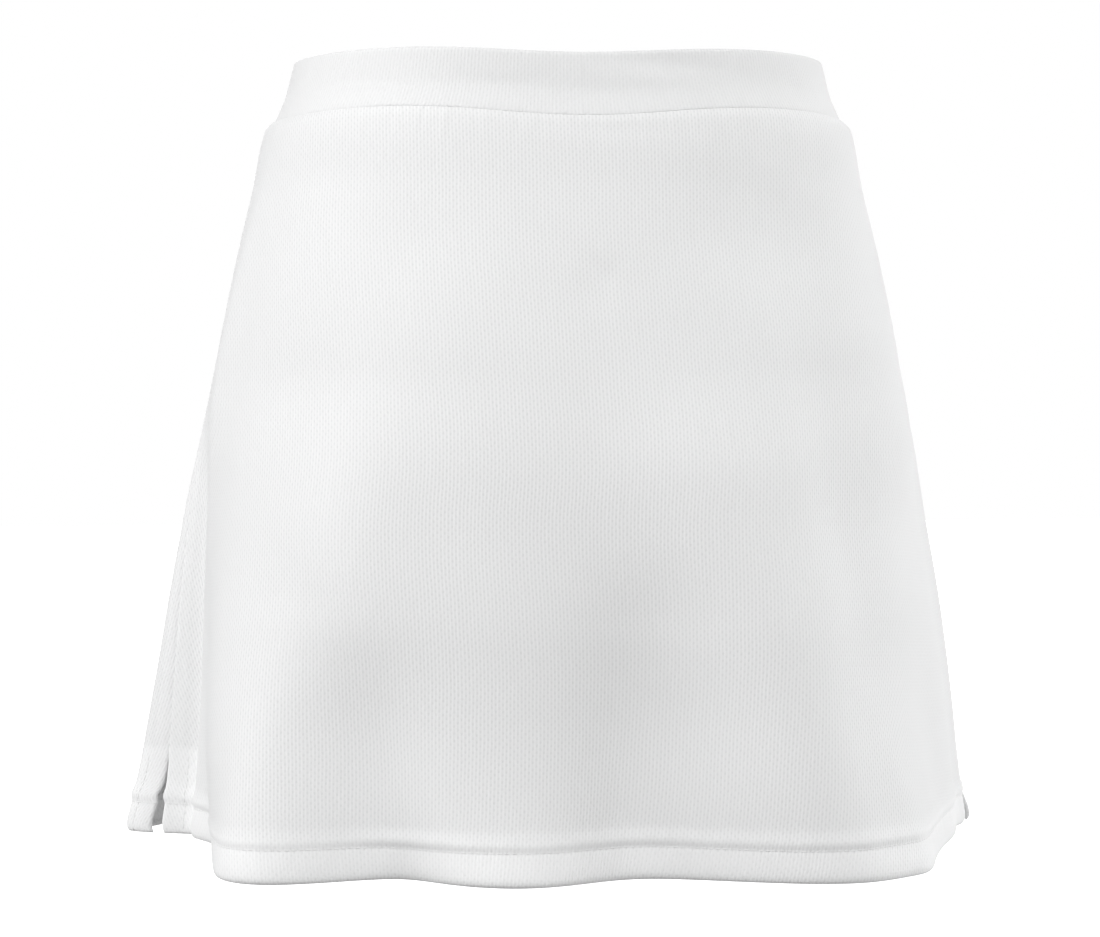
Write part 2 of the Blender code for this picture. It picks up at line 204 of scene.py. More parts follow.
SWELLS = (
    Swell("small of the back", -130, 0.135, 28, 0.055, -0.007),
    Swell("top of the seat", -88, 0.105, 5, 0.01, -0.001),
    Swell("right of the waist", -55, 0.085, 19, 0.025, -0.003),
    Swell("left seat", -134, 0.04, 29, 0.115, 0.014),
    Swell("right seat", -58, 0.17, 7, 0.08, 0.004),
    Swell("low seat", -84, 0.195, 15, 0.03, 0.002),
    Swell("under the seat", -74, 0.29, 18, 0.03, -0.0025),
    Swell("left thigh", -127, 0.3, 12, 0.04, -0.011),
    Swell("right thigh", -53, 0.295, 6.5, 0.06, -0.006),
    Swell("right hip", -34, 0.09, 21, 0.125, 0.006),
    Swell("left back hip", -168, 0.145, 5, 0.085, 0.0035),
    Swell("right flank", -36, 0.3, 12, 0.04, -0.0075),
    Swell("right of the band", -38, 0.04, 12, 0.05, 0.007),
    Swell("left waist", -125, 0.085, 15, 0.025, -0.0025),
    Swell("belly", 90, 0.085, 30, 0.045, 0.003),
    Swell("left hip", 169, 0.22, 15, 0.055, 0.0025),
)

# Creases: a straight soft mark at angle and drop, tilted by tilt degrees from level (its right
# end down where that is positive), half as long and half as wide as its bell.
Crease = namedtuple("Crease", "name angle drop tilt long wide height")

CREASES = (
    Crease("dimple, left arm", -88.4, 0.0975, 38, 0.0075, 0.0022, -0.0004),
    Crease("dimple, right arm", -85.4, 0.0985, -42, 0.006, 0.0022, -0.0004),
    Crease("pull above the dimple", -93.0, 0.0905, 30, 0.02, 0.005, -0.0004),
    Crease("hollow under the band", -84.0, 0.034, 4, 0.03, 0.004, -0.0005),
    Crease("right hip drag", -48.0, 0.056, 14, 0.03, 0.008, 0.0005),
    Crease("left side fall", -168.0, 0.26, 84, 0.05, 0.006, -0.0008),
    Crease("front dimple", 92.0, 0.09, -30, 0.01, 0.003, -0.0006),
    Crease("front right drag", 47.0, 0.06, -12, 0.03, 0.008, 0.0006),
    Crease("front left drag", 128.0, 0.066, 14, 0.03, 0.008, 0.0006),
)
BAND_CREASES = (
    Crease("band, right hollow", -72.0, 0.005, 8, 0.034, 0.005, -0.0007),
    Crease("band, right roll", -70.0, 0.014, 5, 0.034, 0.005, 0.0004),
    Crease("band, left hollow", -118.0, 0.019, -4, 0.03, 0.006, -0.0003),
    Crease("band, front hollow", 100.0, 0.008, 7, 0.034, 0.005, -0.0006),
    Crease("band, front roll", 98.0, 0.017, 5, 0.034, 0.005, 0.0004),
)


def smoothstep(x):
    """0 to 1 with level ends: x squared times 3 - 2x."""
    x = np.clip(x, 0, 1)
    return x * x * (3 - 2 * x)


def bell(x):
    """1 in the middle, gone about two widths away: e to the power of -x squared."""
    return np.exp(-x * x)


def turned(angle, other):
    """Degrees round from other to angle, between -180 and 180."""
    return (angle - other + 180) % 360 - 180


SOFT_START = 0.30  # the share of a fold's length over which it comes out of the cloth


def free_height(angle, drop):
    """How far the folds and swells together would push out cloth that no seam holds."""
    height = 0 * (angle + drop)
    for fold in FOLDS:
        grown = np.clip((drop - fold.start) / (SKIRT_LENGTH - fold.start), 0, 1)
        middle = fold.angle + fold.lean * (1 - grown)
        grown = grown**fold.power * smoothstep(grown / SOFT_START)
        height += fold.height * grown * bell(turned(angle, middle) / fold.width)
    for swell in SWELLS:
        across = turned(angle, swell.angle) / swell.width
        height += swell.height * bell(across) * bell((drop - swell.drop) / swell.tall)
    return height


def fold_height(angle, drop):
    """How far they push the sewn skirt out: the waist seam takes its share back, softly."""
    held = 1 - smoothstep((drop - BAND_DEPTH) / SEAM_HOLD)
    return free_height(angle, drop) - held * free_height(angle, BAND_DEPTH)


def crease_height(creases, angle, drop, radius):
    """A sum of straight bells: one along each crease times one across it."""
    height = 0 * (angle + drop)
    for crease in creases:
        tilt = np.radians(crease.tilt)
        aside = np.radians(turned(angle, crease.angle)) * radius
        below = drop - crease.drop
        along = aside * np.cos(tilt) + below * np.sin(tilt)
        across = below * np.cos(tilt) - aside * np.sin(tilt)
        height += crease.height * bell(along / crease.long) * bell(across / crease.wide)
    return height


print(len(FOLDS), "folds,", len(SWELLS), "swells,", len(CREASES) + len(BAND_CREASES), "creases")

# %% [markdown]
# ## Stitched edges
#
# The hem is turned up once and stitched from inside. The stitches pull the cloth down into a
# groove, and the loose cloth above it puffs out as a little roll; the turned cloth under it is
# painted whiter, a painted highlight on the roll. The same happens along the vents. Thread tension
# also puckers the cloth, with waves a centimetre or so long. A sum of a few sines that don't share
# a period looks as uneven as sewing does.

# %% Stitch relief
GROOVE = 0.0003
GROOVE_WIDTH = 0.0013
PUFF = 0.0010
PUFF_WIDTH = 0.0031
PUFF_OFF = 0.0038  # the puff's middle, beyond the stitches
CURL = 0.0009  # the turned edge itself draws in
CURL_WIDTH = 0.0016
FULLNESS = 0.0003  # and the doubled cloth between the two stands out
FULLNESS_PLACE = 0.45  # its middle and its width, as shares of the way to the stitches
FULLNESS_SHARE = 0.30
VENT_SHARE = 0.35  # the vents' stitches pull less than the hem's
VENT_EASE = 0.006  # and start this softly at the vent's top
SEAM_DIP = 0.0004  # a sewn side seam sinks this far, over this width
SEAM_WIDTH = 0.0011
PUCKER = 0.00022  # waves along the hem's stitches, their reach and their length
PUCKER_WIDTH = 0.006
PUCKER_WAVE = 0.017
GATHER = 0.00022  # and the same below the waist seam
GATHER_WIDTH = 0.012
GATHER_WAVE = 0.016


def stitch_relief(distance, stitches):
    """Bells of the distance: an edge's curl, its fullness, its stitches' groove and the puff."""
    groove = bell((distance - stitches) / GROOVE_WIDTH)
    puff = bell((distance - stitches - PUFF_OFF) / PUFF_WIDTH)
    body = bell((distance - FULLNESS_PLACE * stitches) / (FULLNESS_SHARE * stitches))
    curl = bell(distance / CURL_WIDTH)
    return PUFF * puff - GROOVE * groove + FULLNESS * body - CURL * curl


def uneven(run, wavelength):
    """Uneven waves along a seam: three sines whose periods share no multiple."""
    turn = 2 * np.pi * run / wavelength
    return (np.sin(turn) + np.sin(1.618 * turn + 1.3) + np.sin(0.47 * turn + 4.1)) / 3


print("groove", GROOVE * 1000, "mm deep, puff", PUFF * 1000, "mm high")

# %% [markdown]
# ## The skirt's outer face
#
# A panel could be a flat pattern that is then bent, but its folds change how much cloth each
# level needs. So a point of the panel is named by how far along the hem its column stands and by
# its drop. The hem's length is measured once, and the angle of any column is looked up from it.

# %% Skirt panels
# At each lower corner a vent's edge draws back from the seam by gap and kicks out by flare. The
# right side seam is at 0 degrees.
LEFT_SEAM = 179.5
Corner = namedtuple("Corner", "gap flare")
Panel = namedtuple("Panel", "name node start end at_start at_end")

BACK_CORNERS = Corner(0.0026, 0.0034), Corner(0.0016, 0.0020)
FRONT_CORNERS = Corner(0.0016, 0.0085), Corner(0.0022, 0.0040)
SKIRT_PANELS = (
    Panel("skirt_back_cloth", "skirt_back", LEFT_SEAM - 360, 0, *BACK_CORNERS),
    Panel("skirt_front_cloth", "skirt_front", 0, LEFT_SEAM, *FRONT_CORNERS),
)


def wave(angle, depth):
    """The waist's slow rise and dip: a cosine with four waves round."""
    return depth * np.cos(np.radians(WAVES_ROUND * (angle + 90)))


def placed(angle, radius, drop):
    """Points from angles in degrees, radii and drops."""
    across = radius * np.cos(np.radians(angle))
    along = radius * np.sin(np.radians(angle))
    return np.stack([across, along, BAND_TOP_Z - drop + 0 * radius], axis=-1)


def set_over(grid):
    """The grid with its upper rings moved across, as the waist sits to one side."""
    grid = grid.copy()
    drop = BAND_TOP_Z - grid[..., 2]
    grid[..., 0] += WAIST_SHIFT * (1 - smoothstep(drop / SHIFT_FADE))
    return grid


def hem_stations(panel):
    """Angles round the hem, and the distance run along it to each."""
    fine = np.linspace(panel.start, panel.end, 721)
    radius = ring_radius(SKIRT_RINGS, fine, SKIRT_LENGTH) + fold_height(fine, SKIRT_LENGTH)
    hem = placed(fine, radius, SKIRT_LENGTH + 0 * fine)
    run = np.append(0, np.cumsum(np.linalg.norm(np.diff(hem, axis=0), axis=1)))
    return fine, run


def skirt_face(panel, station, drop):
    """A panel's outer face: section + folds + creases + vent flare + stitch relief."""
    fine, run = hem_stations(panel)
    vent_top = SKIRT_LENGTH - VENT_HEIGHT
    opened = smoothstep((drop - vent_top) / VENT_HEIGHT)
    seen = smoothstep((drop - vent_top) / VENT_EASE)
    above = SKIRT_LENGTH - drop
    relief = stitch_relief(above, HEM_DEPTH)
    puckers = bell((above - HEM_DEPTH) / PUCKER_WIDTH) * uneven(station, PUCKER_WAVE)
    relief = relief + PUCKER * puckers
    gathers = bell((drop - BAND_DEPTH) / GATHER_WIDTH)
    relief = relief + GATHER * gathers * (1 + uneven(station, GATHER_WAVE))
    moved = flare = 0
    for corner, away, forward in (
        (panel.at_start, station, 1),
        (panel.at_end, run[-1] - station, -1),
    ):
        near_it = smoothstep(1 - away / VENT_REACH)
        moved = moved + forward * corner.gap * opened * near_it
        flare = flare + corner.flare * opened * near_it
        relief = relief + VENT_SHARE * seen * stitch_relief(away, VENT_FACING)
        relief = relief - SEAM_DIP * (1 - seen) * bell(away / SEAM_WIDTH)
    angle = np.interp(station + moved, run, fine)
    radius = ring_radius(SKIRT_RINGS, angle, drop) + fold_height(angle, drop)
    radius = radius + crease_height(CREASES, angle, drop, radius) + flare + relief
    fade = 1 - smoothstep((drop - BAND_DEPTH) / WAVE_FADE)
    return set_over(placed(angle, radius, drop + wave(angle, SEAM_WAVE) * fade))


for panel in SKIRT_PANELS:
    print(panel.name, "hem", hem_stations(panel)[1][-1].round(3), "m")

# %% [markdown]
# ## Cloth with a thickness
#
# Solidify gives a sheet its thickness, but leaves its rims square. Cloth is rounded at its edges,
# and twice as thick where it is turned up. So the shell is worked out here: the outer face, an
# inner face one thickness behind it, and both drawn together in a half circle towards every edge,
# where they share their points.


# %% Cloth shell
def spread(*marks):
    """Rising places through marks of (place, step), each stretch cut evenly."""
    places = []
    for (begin, step), (end, _) in zip(marks, marks[1:]):
        count = max(1, int(np.ceil((end - begin) / step - 1e-6)))
        places.append(begin + (end - begin) * np.arange(count) / count)
    return np.append(np.concatenate(places), marks[-1][0])


def rolled(length, roll, steps=4):
    """Places from an edge to the end of its roll, spaced as on a quarter circle."""
    turn = np.linspace(0, np.pi / 2, steps + 1)[:-1]
    return length + roll * (1 - np.cos(turn))


def roundness(away, roll):
    """How far open the two faces are at a distance from an edge: a quarter circle."""
    return np.sqrt(np.clip(1 - np.clip(1 - away / roll, 0, 1) ** 2, 0, 1))


def outward(face):
    """Unit normals of a grid whose columns run counter-clockwise and rows run down."""
    normal = np.cross(np.gradient(face, axis=1), np.gradient(face, axis=0))
    return normal / np.linalg.norm(normal, axis=-1, keepdims=True)


def flat_map(face):
    """The cloth laid flat, in metres: length along each row from its middle, and down."""
    across = np.linalg.norm(np.diff(face, axis=0), axis=-1)
    across = np.concatenate([0 * across[:1], np.cumsum(across, axis=0)])
    down = np.linalg.norm(np.diff(face, axis=1), axis=-1)
    down = np.concatenate([0 * down[:, :1], np.cumsum(down, axis=1)], axis=1)
    return np.stack([across - across[-1:] / 2, -down], axis=-1)


def cloth_shell(name, face, thick, open_by, laid, inside_out=False):
    """A closed sheet: outer face = face - n t/2 (1 - open), inner = face - n t/2 (1 + open)."""
    normal = outward(face) * (-1 if inside_out else 1)
    half = normal * (thick / 2)[..., None]
    opened = open_by[..., None]
    outer, inner = face - half * (1 - opened), face - half * (1 + opened)
    columns, rows = face.shape[:2]
    edge = np.ones((columns, rows), bool)
    edge[1:-1, 1:-1] = False
    front = np.arange(columns * rows).reshape(columns, rows)
    back = front.copy()
    back[~edge] = columns * rows + np.arange((~edge).sum())
    quads = []
    for index, turn in ((front, inside_out), (back, not inside_out)):
        ring = [index[:-1, :-1], index[:-1, 1:], index[1:, 1:], index[1:, :-1]]
        quads.append(np.stack(ring[::-1] if turn else ring, axis=-1).reshape(-1, 4))
    quads = np.concatenate(quads)
    points = np.concatenate([outer.reshape(-1, 3), inner[~edge]])
    flat = np.concatenate([laid.reshape(-1, 2), laid[~edge]])
    mesh = bpy.data.meshes.new(name)
    mesh.from_pydata(points.tolist(), [], quads.tolist())
    mesh.shade_smooth()
    mesh.uv_layers.new(name="cloth").data.foreach_set("uv", flat[quads.ravel()].ravel())
    double = np.clip(thick / CLOTH - 1, 0, 1)
    double = np.concatenate([double.ravel(), double[~edge]])
    mesh.attributes.new("double", "FLOAT", "POINT").data.foreach_set("value", double)
    sheet = bpy.data.objects.new(name, mesh)
    bpy.context.scene.collection.objects.link(sheet)
    print(name, len(points), "points,", 2 * len(quads), "triangles")
    return sheet


# %% [markdown]
# ## The skirt
#
# The panels are cut on the straight grain, so the knit's ribs run down them side by side and run
# off at the slanting side seams. The flat map keeps that: it measures across from the panel's
# middle. Rows and columns crowd together at the stitching and spread out where the cloth is calm.

# %% Skirt cloth
ROLL = 0.0012  # a turned edge is rounded over this distance
SEWN_ROLL = 0.0006  # and a sewn one over this
# The turning's doubled cloth is painted whiter, partly its own colour and partly a painted
# highlight on the puff it reaches over.
TURNING = 0.0060  # cloth past the stitches on the inside
TURNING_FADE = 0.0030  # it is pressed thin over this distance
RAW_EDGE = 0.0006  # a cut edge's step is this steep
ABOVE_VENT = 0.0040  # a vent's facing reaches this far above it
FACING_FADE = 0.0010
SEAM_TURNING = 0.0085  # the side seams' turnings, pressed flat and trimmed
SEAM_SHARE = 0.4
SEAM_FROM = 0.0750  # they begin to be seen at this drop, over this distance
SEAM_FADE = 0.0400
FLUSH = 0.0030  # how soon below a vent's top its edges are rounded
TUCK = -0.0003  # the panels start this far up behind the band's rounded edge
BESIDE = 0.0340  # close columns reach this far in from a panel's edges
FINE_FROM = 0.3240  # close rows begin here, and closer ones here
FINER_FROM = 0.3340


def skirt_thickness(station, run, drop):
    """One layer, and a second one over the hem, the vents' facings and the pressed seams."""
    hem = smoothstep((drop - (SKIRT_LENGTH - HEM_DEPTH - TURNING)) / TURNING_FADE)
    double = hem + 0 * station
    for away in (station, run - station):
        facing = smoothstep((VENT_FACING + TURNING - away) / RAW_EDGE)
        above = SKIRT_LENGTH - VENT_HEIGHT - ABOVE_VENT
        facing = facing * smoothstep((drop - above) / FACING_FADE)
        seam = smoothstep((SEAM_TURNING - away) / RAW_EDGE)
        seam = seam * smoothstep((drop - SEAM_FROM) / SEAM_FADE)
        double = np.maximum(double, np.maximum(facing, SEAM_SHARE * seam))
    return CLOTH * (1 + double)


def make_skirt_panel(panel):
    """A panel's shell, with close rows at the seam, the hem and the vents."""
    run = hem_stations(panel)[1][-1]
    near = np.append(rolled(0, ROLL), spread((ROLL, 0.0011), (0.0190, 0.0023), (BESIDE, 1)))
    middle = spread((BESIDE, 0.0026), (run - BESIDE, 1))[1:-1]
    station = np.concatenate([near, middle, run - near[::-1]])[:, None]
    upper = np.append(
        BAND_DEPTH + TUCK + rolled(0, SEWN_ROLL, 3),
        spread(
            (BAND_DEPTH + SEWN_ROLL, 0.0009),
            (0.0350, 0.0018),
            (0.0500, 0.0034),
            (FINE_FROM, 0.0015),
            (FINER_FROM, 1),
        ),
    )
    lower = SKIRT_LENGTH - rolled(0, ROLL)[::-1]
    hem = spread((FINER_FROM, 0.0006), (0.3460, 0.0011), (SKIRT_LENGTH - ROLL, 1))[1:]
    drop = np.concatenate([upper, hem, lower])[None, :]
    face = skirt_face(panel, station, drop)
    loose = smoothstep((drop - (SKIRT_LENGTH - VENT_HEIGHT)) / FLUSH)  # a sewn edge isn't rounded
    open_by = 1 - loose * (1 - roundness(np.minimum(station, run - station), ROLL))
    open_by = open_by * roundness(SKIRT_LENGTH - drop, ROLL)
    open_by = open_by * roundness(drop - BAND_DEPTH - TUCK, SEWN_ROLL)
    thick = skirt_thickness(station, run, drop)
    cloth = cloth_shell(panel.name, face, thick, open_by, flat_map(face))
    across = np.linalg.norm(np.diff(face, axis=0), axis=-1).sum(0)
    print("  cut", across[0].round(3), "m at the waist,", across[-1].round(3), "m at the hem")
    return cloth


skirt_cloths = [make_skirt_panel(panel) for panel in SKIRT_PANELS]

# %% [markdown]
# ## The waistband
#
# The band is one strip of the same knit, folded over wide elastic and joined at the middle of the
# back. The elastic keeps it smooth, but it rolls a little where it has been pulled on and off. A
# lofted ring would do for its shape. Made as a thick sheet instead, its folded top edge comes out
# round, and its join is a real seam between two ends.


# %% Waistband cloth
JOIN_GAP = 0.00002  # the two ends butt together
JOIN_RADIUS = 0.0950  # how far behind the middle they meet, about
JOIN_RIDGE = 0.0002  # the join stands out, with a groove down its middle
JOIN_RIDGE_WIDTH = 0.0050
JOIN_GROOVE = 0.0001
JOIN_GROOVE_WIDTH = 0.0009
CROWN = 0.0005  # the elastic bows the band out half way down
BAND_GATHER = 0.00012  # and gathers it a little towards the seam
BAND_GATHER_WAVE = 0.011
BAND_ROLL = 0.0016  # its folded top edge is rounded over this distance
HALF_ROUND = 0.3400  # about half its length


def band_face(angle, drop):
    """The band's outer face: its section, a slight crown, its creases and its join."""
    shift = wave(angle, TOP_WAVE + (SEAM_WAVE - TOP_WAVE) * drop / BAND_DEPTH)
    radius = ring_radius(BAND_RINGS, angle, drop)
    crown = CROWN * (1 - (2 * drop / BAND_DEPTH - 1) ** 2)
    creases = crease_height(BAND_CREASES, angle, drop, radius)
    from_join = np.radians(turned(angle, -90)) * radius
    join = JOIN_RIDGE * bell(from_join / JOIN_RIDGE_WIDTH)
    join = join - JOIN_GROOVE * bell(from_join / JOIN_GROOVE_WIDTH)
    gather = BAND_GATHER * uneven(np.radians(angle) * radius, BAND_GATHER_WAVE)
    gather = gather * smoothstep(drop / 0.02)
    return set_over(placed(angle, radius + crown + creases + join + gather, drop + shift))


def make_waistband():
    """A thick sheet once round from its join, its two ends butted together."""
    gap = np.degrees(JOIN_GAP / 2 / JOIN_RADIUS)
    even = spread((0, 0.00005), (0.0002, 0.0010), (0.0120, 0.0022), (HALF_ROUND, 1))
    half = np.degrees(even / HALF_ROUND * np.pi)
    half = np.unique(np.round(gap + half * (180 - gap) / 180, 6))
    angle = np.concatenate([-90 + half, 270 - half[::-1][1:]])[:, None]
    drop = np.concatenate(
        [
            rolled(0, BAND_ROLL, 5),
            spread((BAND_ROLL, 0.0011), (BAND_DEPTH - SEWN_ROLL, 1)),
            BAND_DEPTH - rolled(0, SEWN_ROLL)[::-1],
        ]
    )[None, :]
    face = band_face(angle, drop)
    open_by = roundness(drop, BAND_ROLL) * roundness(BAND_DEPTH - drop, SEWN_ROLL) + 0 * angle
    thick = np.full(open_by.shape, BAND_THICK)
    laid = flat_map(face)
    laid[..., 0] = laid[..., 0].mean(axis=1, keepdims=True)  # its ribs stay upright
    return cloth_shell("waistband_cloth", face, thick, open_by, laid)


waistband_cloth = make_waistband()

# %% [markdown]
# ## The shorts
#
# The shorts hang inside the skirt and hardly show, so they are plain: four panels of smooth
# jersey with turned leg hems. A boolean of two tubes would leave a hard crease where the thighs
# part. Here each point glides from the hips' oval ring to its own thigh's round one, and the
# centre seams follow last.

# %% Shorts panels
# A panel covers part of one leg, from 0 at the centre front, past 0.5 at the side, to 1 at the
# centre back. side is -1 for the wearer's left.
Leg = namedtuple("Leg", "name node side begin end")
PANEL_WIDTH = 0.26  # about, to turn the edges' roll into a share of it
SIDE_ROLL = 0.0008  # a panel's long edges are rounded over this distance
LEG_PUFF = 0.0004  # the leg hem's stitches: a puff above them, and their groove
LEG_PUFF_OFF = 0.0030
LEG_PUFF_WIDTH = 0.0025
LEG_GROOVE = 0.0005
LEG_GROOVE_WIDTH = 0.0009

SHORTS_PANELS = (
    Leg("shorts_left_front_cloth", "shorts_left_front", -1, 0.0, 0.5),
    Leg("shorts_left_back_cloth", "shorts_left_back", -1, 0.5, 1.0),
    Leg("shorts_right_front_cloth", "shorts_right_front", 1, 0.0, 0.5),
    Leg("shorts_right_back_cloth", "shorts_right_back", 1, 0.5, 1.0),
)


def shorts_face(leg, s, drop):
    """Hips' ring + share x (thigh's ring - hips' ring), the share growing down the rise."""
    hip_drop = np.minimum(drop, CROTCH_DROP)
    thigh_drop = np.maximum(drop, CROTCH_DROP)
    angle = 90 - 180 * s
    torso = placed(angle, ring_radius(SHORTS_RINGS, angle, hip_drop), drop)
    round_leg = np.radians(180 - 360 * s)
    half_width = eased(THIGH_RINGS, "half_width", thigh_drop)
    half_depth = eased(THIGH_RINGS, "half_depth", thigh_drop)
    above = SHORTS_DROP - drop
    relief = LEG_PUFF * bell((above - SHORTS_HEM - LEG_PUFF_OFF) / LEG_PUFF_WIDTH)
    relief = relief - LEG_GROOVE * bell((above - SHORTS_HEM) / LEG_GROOVE_WIDTH)
    thigh = torso.copy()
    across = eased(THIGH_RINGS, "inner", thigh_drop) + half_width
    along = eased(THIGH_RINGS, "middle_y", thigh_drop)
    thigh[..., 0] = across + (half_width + relief) * np.cos(round_leg)
    thigh[..., 1] = along + (half_depth + relief) * np.sin(round_leg)
    outside = smoothstep((drop - SPLIT_DROP) / (CROTCH_DROP - SPLIT_DROP))
    rise = np.clip((drop - RISE_DROP) / (CROTCH_DROP - RISE_DROP), 0, 1)
    centre = 1 - np.sqrt(1 - rise**2)
    hug = np.abs(2 * s - 1) ** SEAM_HUG
    grid = torso + (thigh - torso) * (outside + (centre - outside) * hug)[..., None]
    fade = 1 - smoothstep((drop - BAND_DEPTH) / WAVE_FADE)
    grid[..., 2] -= wave(angle, SEAM_WAVE) * fade
    grid[..., 0] *= leg.side
    return set_over(grid)


def make_shorts_panel(leg):
    """A panel's shell: one layer of jersey, two over the leg hem."""
    width = PANEL_WIDTH
    edge = np.append(rolled(0, SIDE_ROLL, 3), spread((SIDE_ROLL, 0.003), (0.012, 1)))
    inner = spread((0.012, 0.0045), (width - 0.012, 1))[1:-1]
    share = np.concatenate([edge, inner, width - edge[::-1]]) / width
    share = SEAM_GAP / 2 / width + share * (1 - SEAM_GAP / width)
    s = (leg.begin + (leg.end - leg.begin) * share)[:, None]
    top, foot = BAND_DEPTH + SHORTS_HANG, SHORTS_DROP
    drop = np.concatenate(
        [
            top + rolled(0, SEWN_ROLL, 3),
            spread((top + SEWN_ROLL, 0.0050), (foot - 0.026, 0.0012), (foot - ROLL, 1)),
            foot - rolled(0, ROLL)[::-1],
        ]
    )[None, :]
    face = shorts_face(leg, s, drop)
    from_side = np.minimum(share, 1 - share)[:, None] * width - SEAM_GAP / 2
    open_by = roundness(from_side + 0 * drop, SIDE_ROLL) * roundness(drop - top, SEWN_ROLL)
    open_by = open_by * roundness(foot - drop, ROLL)
    hem = smoothstep((drop - (foot - SHORTS_HEM - 0.001)) / RAW_EDGE)
    thick = CLOTH * (1 + hem + 0 * s)
    laid = flat_map(face)
    return cloth_shell(leg.name, face, thick, open_by, laid, inside_out=leg.side > 0)


shorts_cloths = [make_shorts_panel(leg) for leg in SHORTS_PANELS]

# %% [markdown]
# ## Threads
#
# Stitches could be painted on, but real threads stand proud and catch the light. A short thread
# is bowed, dips into the cloth at both ends and needs a few dozen faces. A whole row is one array:
# a ring of points for every station of every stitch. On the inside, a looper thread zigzags over
# the turned edge as one long tube.


# %% Threads
THREAD = 0.00032  # across
STITCH = 0.0027
STITCH_PITCH = 0.0031
LOOPER_PITCH = 0.0016
LOOPER_REACH = 0.0013  # it zigzags this far to each side of its line
LINE_END = 0.0015  # a row of stitches stops this far from an edge


def spots_on(face_of, across, drop, depth=0.0):
    """Points that deep under a face, and its normals, from its slopes across and down."""
    step = 0.0002
    side = face_of(across + step, drop) - face_of(across - step, drop)
    down = face_of(across, drop + step) - face_of(across, drop - step)
    normal = np.cross(down, side)
    normal /= np.linalg.norm(normal, axis=-1, keepdims=True)
    return face_of(across, drop) - depth * normal, normal


def stepped(face_of, across, drop, pitch):
    """Places along a drawn line on a face, one every pitch of real length."""
    fine = np.linspace(0, 1, 4001)
    keys = np.linspace(0, 1, len(across))
    across, drop = np.interp(fine, keys, across), np.interp(fine, keys, drop)
    length = np.linalg.norm(np.diff(face_of(across, drop), axis=0), axis=1)
    run = np.append(0, np.cumsum(length))
    at = np.arange(pitch / 2, run[-1], pitch)
    return np.interp(at, run, across), np.interp(at, run, drop)


def thread_object(name, rings):
    """Closed tubes from rings of points: an array of (thread, ring, side, 3)."""
    threads, count, sides = rings.shape[:3]
    index = np.arange(threads * count * sides).reshape(threads, count, sides)
    turned_on = np.roll(index, -1, axis=2)
    walls = [index[:, :-1], turned_on[:, :-1], turned_on[:, 1:], index[:, 1:]]
    walls = np.stack(walls, axis=-1).reshape(-1, 4).tolist()
    caps = index[:, 0, ::-1].tolist() + index[:, -1].tolist()
    mesh = bpy.data.meshes.new(name)
    mesh.from_pydata(rings.reshape(-1, 3).tolist(), [], walls + caps)
    mesh.shade_smooth()
    piece = bpy.data.objects.new(name, mesh)
    bpy.context.scene.collection.objects.link(piece)
    print(name, threads, "threads,", 2 * len(walls) + (sides - 2) * len(caps), "triangles")
    return piece


def rings_round(centre, ahead, up, radius, sides):
    """A ring about each centre: centre + radius (cos up + sin side), side = ahead x up."""
    side = np.cross(ahead, up)
    turn = 2 * np.pi * np.arange(sides) / sides
    ring = np.cos(turn)[:, None] * up[..., None, :] + np.sin(turn)[:, None] * side[..., None, :]
    return centre[..., None, :] + radius * ring


def unit(vectors):
    return vectors / np.linalg.norm(vectors, axis=-1, keepdims=True)


def stitch_rows(name, face_of, lines):
    """Bowed stitches along lines drawn as (across, drop) on a face."""
    rings = []
    for across, drop in lines:
        across, drop = stepped(face_of, across, drop, STITCH_PITCH)
        points, normal = spots_on(face_of, across, drop)
        ahead = unit(np.gradient(points, axis=0))
        along = np.array([-1, -0.75, 0, 0.75, 1])
        lift = THREAD * (0.30 - 0.85 * along**4)
        centre = points[:, None] + ahead[:, None] * (along * STITCH / 2)[:, None]
        centre = centre + normal[:, None] * lift[:, None]
        ahead, normal = (np.repeat(v[:, None], 5, axis=1) for v in (ahead, normal))
        rings.append(rings_round(centre, ahead, normal, THREAD / 2, 6))
    return thread_object(name, np.concatenate(rings))


def looper_thread(name, face_of, across, drop, depth):
    """One thread that zigzags about a line on the inner face, that deep under the outer one."""
    across, drop = stepped(face_of, across, drop, LOOPER_PITCH)
    drop = drop + LOOPER_REACH * np.where(np.arange(len(drop)) % 2, 1, -1)
    points, normal = spots_on(face_of, across, drop, depth + THREAD / 2)
    ahead = unit(np.gradient(points, axis=0))
    up = unit(normal - (normal * ahead).sum(-1, keepdims=True) * ahead)
    return thread_object(name, rings_round(points, ahead, up, THREAD / 2, 5)[None])


skirt_threads = []
for panel, cloth in zip(SKIRT_PANELS, skirt_cloths):
    run = hem_stations(panel)[1][-1]
    vent_top = SKIRT_LENGTH - VENT_HEIGHT
    hem_line = SKIRT_LENGTH - HEM_DEPTH
    lines = [([LINE_END, run - LINE_END], [hem_line, hem_line])]
    for edge in (VENT_FACING, run - VENT_FACING):
        lines.append(([edge, edge], [vent_top, SKIRT_LENGTH - LINE_END]))

    def face_of(across, drop, panel=panel):
        return skirt_face(panel, across, drop)

    skirt_threads.append(stitch_rows(f"{panel.node}_hem_stitches", face_of, lines))
    inside = np.array([hem_line + 0.0004, hem_line + 0.0004])
    looper = f"{panel.node}_hem_looper"
    ends = [2 * LINE_END, run - 2 * LINE_END]
    skirt_threads.append(looper_thread(looper, face_of, ends, inside, 2 * CLOTH))

shorts_threads = []
for leg in SHORTS_PANELS:

    def face_of(across, drop, leg=leg):
        return shorts_face(leg, across, drop)

    ends = [leg.begin + 0.004, leg.end - 0.004]
    if leg.side > 0:
        ends = ends[::-1]
    level = [SHORTS_DROP - SHORTS_HEM] * 2
    shorts_threads.append(stitch_rows(f"{leg.node}_stitches", face_of, [(ends, level)]))

